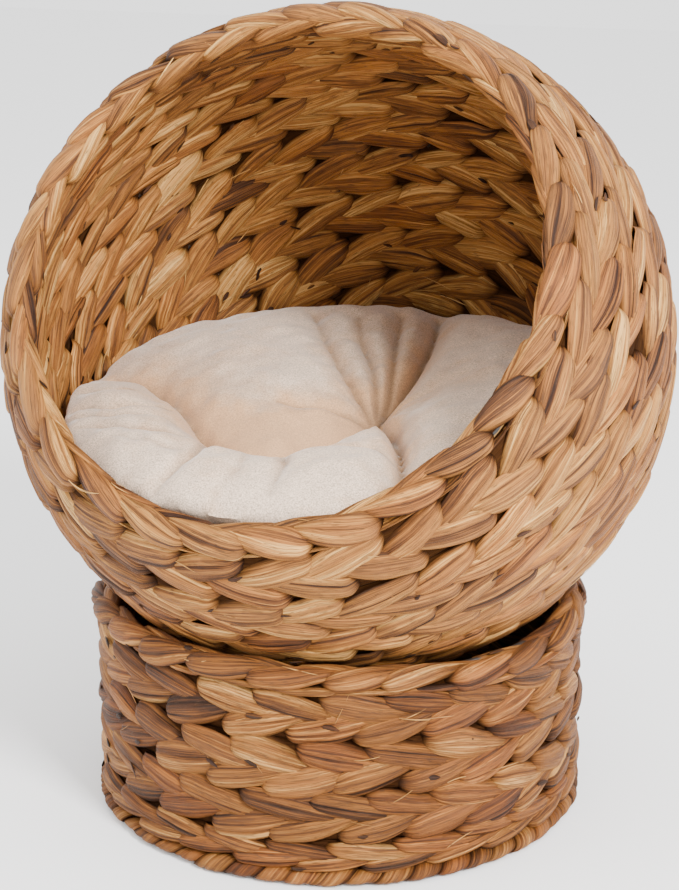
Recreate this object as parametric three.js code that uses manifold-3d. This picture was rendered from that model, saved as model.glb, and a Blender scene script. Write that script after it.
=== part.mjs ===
// Raised pet bed: a ball-shaped pod of plaited rows, open at the front, that
// stands in a short plaited ring and holds one round tufted cushion.
// Units are millimetres, +Z is up, the mouth of the pod looks along -Y and up,
// and the origin is on the floor under the middle of the bed.

import * as THREE from 'three';
import { mergeVertices } from 'three/addons/utils/BufferGeometryUtils.js';
import Module from 'manifold-3d';

const wasm = await Module();
wasm.setup();

// ---------------------------------------------------------------- dimensions

const SEGMENTS = 24;            // sides of every round piece
const GAP = 0.3;                // left between pieces that touch

// Pod: a ball whose rows are rings around the tilted axis of its mouth.
const POD_RADIUS = 250;
const POD_CENTRE_Z = 352.4;
const POD_CENTRE_Y = -7.4;      // puts the bed's plan box around the origin
const POD_WALL = 23;
const MOUTH_TILT = 34.7;        // degrees that the mouth looks up
const MOUTH_ANGLE = 52;         // degrees from the mouth's axis to its edge
const RIM_WIDTH = 6.2;          // degrees that the rolled rim plait covers
const POD_ROWS = 12;            // between the rim plait and the centre coil
const ROW_CROWN = 4;            // how far a row's middle stands proud outside
const ROW_BELLY = 5;            // and inside
const COIL_DIMPLE = 1;          // how far the very middle of the back is drawn in

// Wire frame of the pod: ribs lie just inside the hoops and are welded to them.
const WIRE_RADIUS = 2;
const WIRE_ROOM = 0.6;          // clearance of a wire in its plait
const RIB_RADIUS = 237;
const WELD_GAP = 0.4;           // between a rib and the hoop outside it
const HOOP_RADIUS = RIB_RADIUS + 2 * WIRE_RADIUS + WELD_GAP;
const POD_HOOPS = { rim: 55.5, belly: 93, back: 157.5 };  // degrees off the mouth's axis
const RIB_OVERLAP = 0.8;        // degrees that a rib runs past its end hoops
const TUNNEL_OVERLAP = 1.2;     // and its tunnel
const RIB_STEPS = 12;
const RIBS = 6;

// Base ring: stacked plaits between a bound foot and a rolled border.
const BASE_INNER = 165;
const BASE_OUTER = 187;
const BASE_BULGE = 2;           // how far a row's corners are drawn in
const BASE_ROW_LEVELS = [12, 33, 71, 110, 148];
const BASE_WIRE_RADIUS = 176.5; // where hoops and uprights stand
const BASE_HOOP_WIRE = 2.5;
const FOOT_HOOP_Z = 6.2;
const FOOT_FLAT = 5;            // half the width of the foot's flat face
const BORDER_HOOP_Z = 157.5;
const BORDER_CREST_Z = 167;
const BORDER_FLAT = 4;          // half the width of the border's crest
const BORDER_FALL = 0.5;        // how far the crest falls towards the pod
const BORDER_PROUD = 1;         // how far the border stands outside the rows
const SEAT_RADIUS = 166;        // the pod rests on this edge of the border
const SEAT_Z = 164;
const UPRIGHTS = 6;
const UPRIGHT_GAP = 0.4;        // left between an upright's end and its hoop

// Cushion: fills the bottom of the pod, crowned on top, tied down in the middle.
const CUSHION_RADIUS = 224.4;   // just inside the pod's wall
const CUSHION_SHOULDER = 12;    // degrees below the pod's centre
const CUSHION_CROWN = [120, -26];
const SHOULDER_HANDLE = [-2, 20];   // handles of the curves over the crown
const CROWN_OUTER_HANDLE = [40, 2];
const CROWN_INNER_HANDLE = [-55, -4];
const TUFT_HANDLE = [25, 2];
const TUFT_Z = -74;
const TUFT_RADIUS = 9;
const UNDERSIDE_TUFT_Z = -216;
const UNDERSIDE_TUFT_RADIUS = 13;
const COVER_THICKNESS = 2;
const FILLING_ROOM = 0.5;
const OUTLINE_STEPS = 4;        // points along each curve of the section
const TIE_HOLE = 3;
const TIE_RADIUS = 1.6;
const TIE_HEAD_RADIUS = 7;
const TIE_HEAD_HEIGHT = 3;
const TIE_HEAD_BEVEL = 2;

// ----------------------------------------------------------------- materials

const plait = (colour) =>
  new THREE.MeshStandardMaterial({ color: colour, roughness: 0.75, metalness: 0 });
const podLeaf = plait(0xc09a6c);
const rimLeaf = plait(0xcda878);
const baseLeaf = plait(0xb5895a);
const wire = new THREE.MeshStandardMaterial({ color: 0x2b2927, roughness: 0.5, metalness: 0.6 });
const velvet = new THREE.MeshStandardMaterial({ color: 0xcdbcb0, roughness: 0.9, metalness: 0 });
const filling = new THREE.MeshStandardMaterial({ color: 0xf2f0ea, roughness: 1, metalness: 0 });
const thread = new THREE.MeshStandardMaterial({ color: 0xa89488, roughness: 0.8, metalness: 0 });

// ------------------------------------------------------------------- helpers

const radians = THREE.MathUtils.degToRad;

// Merges a closed geometry's vertices, drops slivers and turns its faces out.
function closed(geometry) {
  geometry.deleteAttribute('normal');
  geometry.deleteAttribute('uv');
  const merged = mergeVertices(geometry);
  const corner = (i) => new THREE.Vector3().fromBufferAttribute(merged.attributes.position, i);
  const triangles = [];
  let volume = 0;
  for (let i = 0; i < merged.index.count; i += 3) {
    const [a, b, c] = [0, 1, 2].map((k) => merged.index.getX(i + k));
    if (a === b || b === c || c === a) continue;
    triangles.push([a, b, c]);
    volume += corner(a).dot(corner(b).cross(corner(c)));
  }
  const outward = volume > 0 ? triangles : triangles.map(([a, b, c]) => [a, c, b]);
  merged.setIndex(outward.flat());
  return merged;
}

function toManifold(geometry) {
  const solid = closed(geometry);
  return new wasm.Manifold(new wasm.Mesh({
    numProp: 3,
    vertProperties: new Float32Array(solid.attributes.position.array),
    triVerts: new Uint32Array(solid.index.array),
  }));
}

// The geometry left when every tool is cut out of the body.
function cut(body, tools) {
  let solid = toManifold(body);
  for (const tool of tools) solid = solid.subtract(toManifold(tool));
  const { vertProperties, triVerts } = solid.getMesh();
  const geometry = new THREE.BufferGeometry();
  geometry.setAttribute('position', new THREE.BufferAttribute(vertProperties, 3));
  geometry.setIndex(new THREE.BufferAttribute(triVerts, 1));
  return geometry;
}

// Adds one named piece to a group.
function piece(group, name, geometry, material) {
  const mesh = new THREE.Mesh(geometry, material);
  mesh.name = name;
  group.add(mesh);
}

// A point of the pod's section, from its polar angle off the mouth's axis.
const onBall = (degrees, radius) =>
  new THREE.Vector2(radius * Math.sin(radians(degrees)), radius * Math.cos(radians(degrees)));

const polygon = (centre, radius, sides, turn = 0) =>
  Array.from({ length: sides }, (_, i) => {
    const angle = turn + (2 * Math.PI * i) / sides;
    return new THREE.Vector2(centre.x + radius * Math.cos(angle), centre.y + radius * Math.sin(angle));
  });

// A ring turned from a section that closes on itself.
function ring(section) {
  return closed(new THREE.LatheGeometry([...section, section[0]], SEGMENTS));
}

const hoop = (centre, radius) => ring(polygon(centre, radius, 6));
const hoopTunnel = (centre, radius) =>
  ring(polygon(centre, (radius + WIRE_ROOM) * Math.SQRT2, 4, Math.PI / 4));

// ----------------------------------------------------------------- pod rows

const rowAngle = (180 - MOUTH_ANGLE - RIM_WIDTH) / (POD_ROWS + 1);
const gapAngle = THREE.MathUtils.radToDeg(GAP / 2 / POD_RADIUS);
const podInner = POD_RADIUS - POD_WALL;

// Row 0 is the rim plait, and the coil comes after row POD_ROWS.
const rowEdge = (row) =>
  (row === 0 ? MOUTH_ANGLE : MOUTH_ANGLE + RIM_WIDTH + (row - 1) * rowAngle);

function podRow(row) {
  const start = rowEdge(row) + gapAngle;
  const end = rowEdge(row + 1) - gapAngle;
  const middle = (start + end) / 2;
  return ring([
    onBall(start, podInner + ROW_BELLY),
    onBall(start, POD_RADIUS - ROW_CROWN),
    onBall(middle, POD_RADIUS),
    onBall(end, POD_RADIUS - ROW_CROWN),
    onBall(end, podInner + ROW_BELLY),
    onBall(middle, podInner),
  ]);
}

function podCoil() {
  const start = 180 - rowAngle + gapAngle;
  const middle = 180 - rowAngle / 2;
  return closed(new THREE.LatheGeometry([
    new THREE.Vector2(0, -podInner),
    onBall(middle, podInner),
    onBall(start, podInner + ROW_BELLY),
    onBall(start, POD_RADIUS - ROW_CROWN),
    onBall(middle, POD_RADIUS),
    new THREE.Vector2(0, COIL_DIMPLE - POD_RADIUS),
  ], SEGMENTS));
}

// A bar bent along a meridian of the ball, between two polar angles.
class Meridian extends THREE.Curve {
  constructor(turn, from, to) {
    super();
    Object.assign(this, { turn, from, to });
  }

  getPoint(t) {
    const { x: out, y: along } = onBall(this.from + (this.to - this.from) * t, RIB_RADIUS);
    return new THREE.Vector3(out * Math.sin(this.turn), along, out * Math.cos(this.turn));
  }
}

function rib(turn, radius, sides, overlap) {
  const path = new Meridian(turn, POD_HOOPS.rim - overlap, POD_HOOPS.back + overlap);
  const section = new THREE.Shape(polygon(new THREE.Vector2(), radius, sides, Math.PI / sides));
  return closed(new THREE.ExtrudeGeometry(section, {
    steps: RIB_STEPS, extrudePath: path, bevelEnabled: false,
  }));
}

function makePod() {
  const pod = new THREE.Group();
  const turns = Array.from({ length: RIBS }, (_, i) => (2 * Math.PI * i) / RIBS);
  const tunnelSize = (WIRE_RADIUS + WIRE_ROOM) * Math.SQRT2;
  const ribTunnels = turns.map((turn) => rib(turn, tunnelSize, 4, TUNNEL_OVERLAP));

  for (let row = 0; row <= POD_ROWS; row += 1) {
    const name = row === 0 ? 'pod_rim_plait' : `pod_row_${String(row).padStart(2, '0')}`;
    const tools = rowEdge(row) < POD_HOOPS.back ? [...ribTunnels] : [];
    for (const angle of Object.values(POD_HOOPS)) {
      const inside = rowEdge(row) < angle && angle < rowEdge(row + 1);
      if (inside) tools.push(hoopTunnel(onBall(angle, HOOP_RADIUS), WIRE_RADIUS));
    }
    piece(pod, name, cut(podRow(row), tools), row === 0 ? rimLeaf : podLeaf);
  }
  piece(pod, 'pod_centre_coil', podCoil(), podLeaf);
  for (const [name, angle] of Object.entries(POD_HOOPS)) {
    piece(pod, `pod_${name}_hoop`, hoop(onBall(angle, HOOP_RADIUS), WIRE_RADIUS), wire);
  }
  turns.forEach((turn, i) => {
    piece(pod, `pod_rib_${i + 1}`, rib(turn, WIRE_RADIUS, 6, RIB_OVERLAP), wire);
  });

  pod.position.set(0, POD_CENTRE_Y, POD_CENTRE_Z);
  pod.rotation.x = Math.PI - radians(MOUTH_TILT);
  return pod;
}

// ---------------------------------------------------------------- base ring

function baseRow(bottom, top) {
  const [low, high] = [bottom + GAP / 2, top - GAP / 2];
  const middle = (low + high) / 2;
  return ring([
    new THREE.Vector2(BASE_INNER + BASE_BULGE, low),
    new THREE.Vector2(BASE_OUTER - BASE_BULGE, low),
    new THREE.Vector2(BASE_OUTER, middle),
    new THREE.Vector2(BASE_OUTER - BASE_BULGE, high),
    new THREE.Vector2(BASE_INNER + BASE_BULGE, high),
    new THREE.Vector2(BASE_INNER, middle),
  ]);
}

// The foot: strips wound round the bottom hoop, flattened where it stands.
function footBinding() {
  const top = BASE_ROW_LEVELS[0] - GAP / 2;
  return ring([
    new THREE.Vector2(BASE_WIRE_RADIUS - FOOT_FLAT, 0),
    new THREE.Vector2(BASE_WIRE_RADIUS + FOOT_FLAT, 0),
    new THREE.Vector2(BASE_OUTER - BASE_BULGE, top / 2),
    new THREE.Vector2(BASE_WIRE_RADIUS + FOOT_FLAT, top),
    new THREE.Vector2(BASE_WIRE_RADIUS - FOOT_FLAT, top),
    new THREE.Vector2(BASE_INNER + BASE_BULGE, top / 2),
  ]);
}

// The border: the last plait rolled over the top hoop, hollowed for the pod.
function borderPlait() {
  const bottom = BASE_ROW_LEVELS.at(-1) + GAP / 2;
  return ring([
    new THREE.Vector2(BASE_INNER + BASE_BULGE, bottom),
    new THREE.Vector2(BASE_OUTER - BASE_BULGE, bottom),
    new THREE.Vector2(BASE_OUTER + BORDER_PROUD, (bottom + BORDER_CREST_Z) / 2),
    new THREE.Vector2(BASE_WIRE_RADIUS + BORDER_FLAT, BORDER_CREST_Z),
    new THREE.Vector2(BASE_WIRE_RADIUS - BORDER_FLAT, BORDER_CREST_Z - BORDER_FALL),
    new THREE.Vector2(SEAT_RADIUS, SEAT_Z),
    new THREE.Vector2(BASE_INNER, (bottom + SEAT_Z) / 2),
  ]);
}

// A straight wire standing in the ring, as a prism along the lathe's axis.
function upright(turn, radius, sides, bottom, top) {
  const bar = new THREE.CylinderGeometry(radius, radius, top - bottom, sides);
  bar.rotateY(Math.PI / sides);
  bar.translate(0, (bottom + top) / 2, BASE_WIRE_RADIUS);
  bar.rotateY(turn);
  return closed(bar);
}

function makeBase() {
  const base = new THREE.Group();
  const turns = Array.from({ length: UPRIGHTS }, (_, i) => (2 * Math.PI * i) / UPRIGHTS);
  const footHoop = new THREE.Vector2(BASE_WIRE_RADIUS, FOOT_HOOP_Z);
  const borderHoop = new THREE.Vector2(BASE_WIRE_RADIUS, BORDER_HOOP_Z);
  const tunnels = turns.map((turn) =>
    upright(turn, (WIRE_RADIUS + WIRE_ROOM) * Math.SQRT2, 4, FOOT_HOOP_Z, BORDER_HOOP_Z));

  const foot = cut(footBinding(), [hoopTunnel(footHoop, BASE_HOOP_WIRE), ...tunnels]);
  piece(base, 'base_foot_binding', foot, baseLeaf);
  for (let row = 1; row < BASE_ROW_LEVELS.length; row += 1) {
    const body = baseRow(BASE_ROW_LEVELS[row - 1], BASE_ROW_LEVELS[row]);
    piece(base, `base_row_${row}`, cut(body, tunnels), baseLeaf);
  }
  const border = cut(borderPlait(), [hoopTunnel(borderHoop, BASE_HOOP_WIRE), ...tunnels]);
  piece(base, 'base_border_plait', border, baseLeaf);

  piece(base, 'base_foot_hoop', hoop(footHoop, BASE_HOOP_WIRE), wire);
  piece(base, 'base_border_hoop', hoop(borderHoop, BASE_HOOP_WIRE), wire);
  const lowEnd = FOOT_HOOP_Z + BASE_HOOP_WIRE + UPRIGHT_GAP;
  const highEnd = BORDER_HOOP_Z - BASE_HOOP_WIRE - UPRIGHT_GAP;
  turns.forEach((turn, i) => {
    piece(base, `base_upright_${i + 1}`, upright(turn, WIRE_RADIUS, 6, lowEnd, highEnd), wire);
  });

  base.position.set(0, POD_CENTRE_Y, 0);
  base.rotation.x = Math.PI / 2;
  return base;
}

// ------------------------------------------------------------------ cushion

// Half of the cushion's section, from its underside hole round to its top hole.
function cushionOutline() {
  const shoulder = radians(-CUSHION_SHOULDER);
  const start = -Math.acos(UNDERSIDE_TUFT_RADIUS * 2 / CUSHION_RADIUS);
  const edge = [CUSHION_RADIUS * Math.cos(shoulder), CUSHION_RADIUS * Math.sin(shoulder)];
  const tuft = [TUFT_RADIUS, TUFT_Z];
  const moved = (point, handle) => point.map((value, i) => value + handle[i]);
  const outline = new THREE.Path();
  outline.absarc(0, 0, CUSHION_RADIUS, start, shoulder, false);
  outline.bezierCurveTo(
    ...moved(edge, SHOULDER_HANDLE), ...moved(CUSHION_CROWN, CROWN_OUTER_HANDLE), ...CUSHION_CROWN);
  outline.bezierCurveTo(
    ...moved(CUSHION_CROWN, CROWN_INNER_HANDLE), ...moved(tuft, TUFT_HANDLE), ...tuft);
  return [
    new THREE.Vector2(TIE_HOLE, UNDERSIDE_TUFT_Z),
    new THREE.Vector2(UNDERSIDE_TUFT_RADIUS, UNDERSIDE_TUFT_Z),
    ...outline.getPoints(OUTLINE_STEPS),
    new THREE.Vector2(TIE_HOLE, TUFT_Z),
  ];
}

// Moves every point of an outline inwards, and keeps its ends on the tie hole.
function inset(outline, distance) {
  return outline.map((point, i) => {
    const before = outline[Math.max(i - 1, 0)];
    const after = outline[Math.min(i + 1, outline.length - 1)];
    const along = after.clone().sub(before).normalize();
    const moved = new THREE.Vector2(point.x - along.y * distance, point.y + along.x * distance);
    if (i === 0 || i === outline.length - 1) moved.x = TIE_HOLE;
    return moved;
  });
}

function tuftTie() {
  const top = TUFT_Z + GAP;
  const bottom = UNDERSIDE_TUFT_Z - GAP;
  return closed(new THREE.LatheGeometry([
    new THREE.Vector2(0, bottom - TIE_HEAD_HEIGHT),
    new THREE.Vector2(TIE_HEAD_RADIUS, bottom - TIE_HEAD_HEIGHT),
    new THREE.Vector2(TIE_HEAD_RADIUS, bottom),
    new THREE.Vector2(TIE_RADIUS, bottom),
    new THREE.Vector2(TIE_RADIUS, top),
    new THREE.Vector2(TIE_HEAD_RADIUS, top),
    new THREE.Vector2(TIE_HEAD_RADIUS - TIE_HEAD_BEVEL, top + TIE_HEAD_HEIGHT),
    new THREE.Vector2(0, top + TIE_HEAD_HEIGHT),
  ], SEGMENTS / 2));
}

function makeCushion() {
  const cushion = new THREE.Group();
  const outline = cushionOutline();
  const lining = inset(outline, COVER_THICKNESS);
  const stuffing = inset(outline, COVER_THICKNESS + FILLING_ROOM);
  piece(cushion, 'cushion_cover', ring([...outline, ...lining.reverse()]), velvet);
  piece(cushion, 'cushion_filling', ring(stuffing), filling);
  piece(cushion, 'cushion_tuft_tie', tuftTie(), thread);
  cushion.position.set(0, POD_CENTRE_Y, POD_CENTRE_Z);
  cushion.rotation.x = Math.PI / 2;
  return cushion;
}

// ----------------------------------------------------------------- assembly

const petBed = new THREE.Group();
petBed.add(makeBase(), makePod(), makeCushion());

export default petBed;
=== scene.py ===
"""Looks of the plaited pet bed: rows of overlapping leaves, a velvet cushion, floor, lights and camera.

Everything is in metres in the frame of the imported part: +Z is up, and the mouth looks along -Y and up.
"""

import math

import bpy
import numpy as np
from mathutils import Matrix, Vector


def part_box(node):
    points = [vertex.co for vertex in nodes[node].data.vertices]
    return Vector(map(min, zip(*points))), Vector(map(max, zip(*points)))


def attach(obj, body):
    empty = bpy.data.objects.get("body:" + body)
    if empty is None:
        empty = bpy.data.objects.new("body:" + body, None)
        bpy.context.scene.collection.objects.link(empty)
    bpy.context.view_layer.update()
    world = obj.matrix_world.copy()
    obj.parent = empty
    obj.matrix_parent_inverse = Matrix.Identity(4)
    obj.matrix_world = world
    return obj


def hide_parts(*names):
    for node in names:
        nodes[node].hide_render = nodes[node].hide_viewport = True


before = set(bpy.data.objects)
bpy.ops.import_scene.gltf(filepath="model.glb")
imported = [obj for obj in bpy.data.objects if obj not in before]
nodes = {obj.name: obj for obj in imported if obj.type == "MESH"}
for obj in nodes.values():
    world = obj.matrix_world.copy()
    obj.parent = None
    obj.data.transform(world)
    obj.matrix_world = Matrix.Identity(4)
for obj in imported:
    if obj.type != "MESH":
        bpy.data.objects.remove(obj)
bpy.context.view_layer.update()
TAU = 2 * math.pi


# ------------------------------------------------------------------ the frame's sizes

def node_points(name):
    """Every vertex of a CAD node."""
    return np.array([v.co for v in nodes[name].data.vertices])


def hoop(name):
    """Centre and radius of a round hoop, which holds its widest points along X."""
    low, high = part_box(name)
    return np.array((low + high) / 2), (high.x - low.x) / 2


rim_centre, rim_radius = hoop("pod_rim_hoop")
back_centre, back_radius = hoop("pod_back_hoop")
span = float(np.linalg.norm(rim_centre - back_centre))
MOUTH_AXIS = (rim_centre - back_centre) / span
# The ball's centre is as far from the one hoop's wire as from the other's.
from_back = (span**2 + rim_radius**2 - back_radius**2) / (2 * span)
BALL_CENTRE = back_centre + MOUTH_AXIS * from_back
BALL_OUTER = float(np.linalg.norm(node_points("pod_row_04") - BALL_CENTRE, axis=1).max())
BALL_INNER = float(np.linalg.norm(node_points("pod_row_04") - BALL_CENTRE, axis=1).min())
WALL_MIDDLE = (BALL_OUTER + BALL_INNER) / 2
SIDE = np.array([1.0, 0.0, 0.0])
MOUTH_UP = np.cross(MOUTH_AXIS, SIDE)
UP = np.array([0.0, 0.0, 1.0])
FRONT = np.array([0.0, -1.0, 0.0])


def polar_span(name):
    """The first and last angle of a pod row, measured from the mouth's axis."""
    rays = node_points(name) - BALL_CENTRE
    along = rays @ MOUTH_AXIS / np.linalg.norm(rays, axis=1)
    angles = np.arccos(np.clip(along, -1, 1))
    return float(angles.min()), float(angles.max())


base_low, base_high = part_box("base_row_2")
BASE_CENTRE = np.array([(base_low.x + base_high.x) / 2, (base_low.y + base_high.y) / 2, 0.0])
BASE_OUTER = (base_high.x - base_low.x) / 2
BASE_WIRE = hoop("base_border_hoop")[1]
POD_FLOW, BASE_FLOW = -1, 1     # which way round the outer leaves' tips point


# ------------------------------------------------------------------ small helpers

def unit(vectors):
    return vectors / np.linalg.norm(vectors, axis=-1, keepdims=True)


def spread(shape, *values):
    """Vectors whose parts are the given values, each spread over one shape of array."""
    return np.stack([np.broadcast_to(value, shape) for value in values], -1)


class Surface:
    """A surface turned round an axis, that leaves lie on.

    `place` takes turns round the axis, distances over the row's width, and heights above its middle
    layer. `lift` gives how far along the axis the row stands off its place, by the turn.
    """

    def __init__(self, centre, axis, start, radius, section):
        self.centre, self.axis, self.start = centre, axis, start
        self.side = np.cross(axis, start)
        self.radius, self.section = radius, section
        self.lift = np.zeros_like

    def place(self, turn, over, height):
        away = np.cos(turn)[..., None] * self.start + np.sin(turn)[..., None] * self.side
        radius, along = self.section(over, height)
        along = along + self.lift(turn)
        return self.centre + away * radius[..., None] + self.axis * along[..., None]


def ball_row(middle):
    """A row of the ball at a polar angle off the mouth's axis; its width runs away from the mouth."""
    def section(over, height):
        angle = middle + over / WALL_MIDDLE
        reach = WALL_MIDDLE + height
        return reach * np.sin(angle), reach * np.cos(angle)
    return Surface(BALL_CENTRE, MOUTH_AXIS, MOUTH_UP, WALL_MIDDLE * math.sin(middle), section)


def upright_row(radius, middle):
    """A row of the base, whose width runs upwards."""
    def section(over, height):
        return radius + height, middle + over
    return Surface(BASE_CENTRE, UP, FRONT, radius, section)


def rolled(centre, axis, start, radius, along, lean, thick, tall, flat=0.0085):
    """A row rolled over an edge: its middle lies on the crest, and its two halves on the two faces.

    `lean` turns the crest from the axis towards the outside. `thick` and `tall` are the half sizes of
    the roll at the height `flat` above the row's middle layer.
    """
    def section(over, height):
        angle = over / ((thick + tall) * 0.43)
        out = (thick + height - flat) * np.sin(angle)
        up = (tall + height - flat) * np.cos(angle)
        return (radius + out * math.cos(lean) + up * math.sin(lean),
                along + up * math.cos(lean) - out * math.sin(lean))
    return Surface(centre, axis, start, radius, section)


# ------------------------------------------------------------------ leaves

LEAF_STEPS = 24       # along a leaf
FACE_CORNERS = 21     # over a leaf's outer face
BACK_CORNERS = 4      # over its hidden face
ROW_WIDTH = 0.038     # of the row that a weave of size 1 fills
BAND_CORNERS = 10     # of the hidden band that closes a row's middle
BAND_STEP = 0.012     # between its rings
# The band's depth puts it in the painted crevice shade, nearly at its darkest.
BAND_TONE, BAND_DEPTH = 0.45, 0.0030
INNER_PAINTED_LIGHT = 0.07     # painted light: how much paler the inner face's leaves are painted, to make up for the less light that reaches them
LEAF_FOLDS = 3        # lengthwise grooves of a leaf
LEAF_TONE = 0.55      # the usual tone, from 0 (dark) to 1 (pale)
PATTERN_SPREAD = 40   # how far apart the leaves' patterns are drawn from


class Weave:
    """Sizes of a plaited row's leaves, in metres, apart from their length, which counts in spacings.

    A leaf goes from `start` to `end` over the row's width. Its ridge is `low` where it comes up, `high`
    up to where it is widest, and `tip` at its end. `size` widens the row without making it thicker.
    """

    def __init__(self, size=1.0, spacing=0.047, length=1.98, start=0.0136, end=-0.0078,
                 half_width=0.0134, thick=0.0064, high=0.0112, tip=0.0016, low=0.0010,
                 band=0.0202, band_thick=0.0052):
        self.spacing, self.length = spacing, length
        self.start, self.end, self.half_width = start * size, end * size, half_width * size
        self.thick, self.high, self.tip, self.low = thick, high, tip, low
        self.band, self.band_thick = band * size, band_thick


def leaf_outline(q):
    """A leaf's half-width along it, of 1 at most: round where it starts and pointed where it ends."""
    widest = 0.36
    round_end = np.sqrt(np.clip(1 - (1 - q / widest) ** 2, 0, 1))
    point = 1 - 0.86 * np.clip((q - widest) / (1 - widest), 0, 1) ** 1.4
    return np.where(q < widest, round_end, point)


def leaf_height(q, weave):
    """The height of a leaf's ridge: it comes up round the row's edge and dives under the next leaves."""
    rising, holding = 0.13, 0.36
    up = weave.low + (weave.high - weave.low) * np.sin(np.clip(q / rising, 0, 1) * math.pi / 2)
    down = (weave.high - weave.tip) * np.clip((q - holding) / (1 - holding), 0, 1) ** 1.35
    return up - down


def leaf_section():
    """Where a leaf's corners lie across it, how far up its outer face, and which belong to that face."""
    face = np.sin(np.linspace(math.pi / 2, -math.pi / 2, FACE_CORNERS) * 0.9) / math.sin(math.pi * 0.45)
    back = np.linspace(-1, 1, BACK_CORNERS + 2)[1:-1]
    across = np.concatenate([face, back])
    on_face = np.arange(len(across)) < FACE_CORNERS
    height = np.where(on_face, -np.abs(across) ** 2.5, -1.25)
    return across, height, on_face


def leaves(weave, count, rng):
    """The shapes of many leaves, each as turns of spacing, distances over the row and heights."""
    q = 0.5 - 0.5 * np.cos(np.linspace(0, math.pi, LEAF_STEPS + 2)[1:-1])
    q = q[None, :, None]
    across, section, on_face = leaf_section()
    shape = (count, 1, 1)

    def varied(size):
        return rng.normal(0, size, shape)

    outline = leaf_outline(q)
    frilled = 1 + varied(0.05) * np.sin(TAU * (q * 2.2 + rng.uniform(0, 1, shape)))
    half = weave.half_width * (1 + np.clip(varied(0.12), -0.2, 0.3)) * outline * frilled
    bend = 1.25 + varied(0.16)
    start, end = weave.start + varied(0.0009), weave.end + varied(0.0013)
    middle = start - (start - end) * q ** bend + varied(0.0008) * np.sin(math.pi * q)
    deep = weave.thick * (1 + varied(0.07)) * outline ** 0.7
    ripple = varied(0.0003) * np.sin(TAU * (q * 1.3 + rng.uniform(0, 1, shape)))
    ridge = leaf_height(q, weave) + varied(0.00050) + ripple
    rise = ridge + deep * section + varied(0.12) * half * across
    # Painted shade: darker at both ends, where a leaf comes up from under the others and dives under the
    # next, and at the edges; a painted highlight is the paler line beside each edge.
    tone = LEAF_TONE + varied(0.095) + varied(0.06) * (q - 0.4)
    tone = tone - 0.25 * np.exp(-(q / 0.07) ** 2) - 0.10 * np.exp(-((1 - q) / 0.12) ** 2)
    tone = tone - 0.30 * np.abs(across) ** 12
    tone = tone + np.clip(varied(0.11), 0, 0.3) * np.exp(-((np.abs(across) - 0.76) / 0.11) ** 2)
    # Each fold is a groove cut into the leaf, and painted darker there as painted shade.
    for fold in range(LEAF_FOLDS):
        place = -0.5 + 0.5 * fold + varied(0.15) + varied(0.10) * (q - 0.4)
        beyond = across - place
        cut = np.clip(rng.normal(0.7, 0.45, shape), 0.0, 1.5)
        groove = cut * np.exp(-(beyond / 0.07) ** 2) * on_face * np.clip(outline * 1.2, 0, 1)
        rise = rise - 0.0013 * groove
        tone = tone - 0.34 * groove + varied(0.055) * np.tanh(beyond / 0.05) * on_face
    over = middle + half * across
    length = q * (1 + varied(0.05)) * weave.length * weave.spacing
    length = length + rng.uniform(0, PATTERN_SPREAD, shape)
    ident = rng.uniform(0, PATTERN_SPREAD, shape)
    along = q * weave.length * (1 + varied(0.07)) + varied(0.05)
    return along, over, rise, tone, spread(over.shape, length, across * weave.half_width, ident)


class Collected:
    """Closed leaves gathered into one mesh, with their leaf coordinates, tones and depths in the weave."""

    def __init__(self):
        self.points, self.quads, self.fans = [], [], []
        self.leaf, self.tone, self.depth = [], [], []
        self.count = 0

    def add(self, points, leaf, tone, depth):
        """Adds leaves given as arrays of (leaf, step, corner), and closes each one's ends with a point."""
        amount, steps, corners = tone.shape
        rings = self.count + np.arange(amount * steps * corners).reshape(amount, steps, corners)
        ahead = np.roll(rings, -1, 2)
        quads = np.stack([rings[:, :-1], ahead[:, :-1], ahead[:, 1:], rings[:, 1:]], -1)
        self.quads.append(quads.reshape(-1, 4))
        self.points.append(points.reshape(-1, 3))
        self.leaf.append(leaf.reshape(-1, 3))
        self.tone.append(tone.ravel())
        self.depth.append(depth.ravel())
        self.count += amount * steps * corners
        for last, inner in ((0, 1), (-1, -2)):
            middle = points[:, last].mean(1)
            pole = middle + (middle - points[:, inner].mean(1)) * 0.15
            poles = self.count + np.arange(amount)[:, None] + np.zeros((1, corners), int)
            ends = (rings[:, last], ahead[:, last])
            fan = [ends[1], ends[0]] if last == 0 else [ends[0], ends[1]]
            self.fans.append(np.stack([*fan, poles], -1).reshape(-1, 3))
            self.points.append(pole)
            self.leaf.append(leaf[:, last].mean(1))
            self.tone.append(tone[:, last].mean(1))
            self.depth.append(depth[:, last].mean(1))
            self.count += amount

    def add_ring(self, points, leaf, tone, depth):
        """Adds one tube that closes on itself both ways, given as arrays of (step, corner)."""
        steps, corners = tone.shape
        rings = self.count + np.arange(steps * corners).reshape(steps, corners)
        ahead = np.roll(rings, -1, 1)
        quads = np.stack([rings, ahead, np.roll(ahead, -1, 0), np.roll(rings, -1, 0)], -1)
        self.quads.append(quads.reshape(-1, 4))
        self.points.append(points.reshape(-1, 3))
        self.leaf.append(leaf.reshape(-1, 3))
        self.tone.append(tone.ravel())
        self.depth.append(depth.ravel())
        self.count += steps * corners


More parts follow.
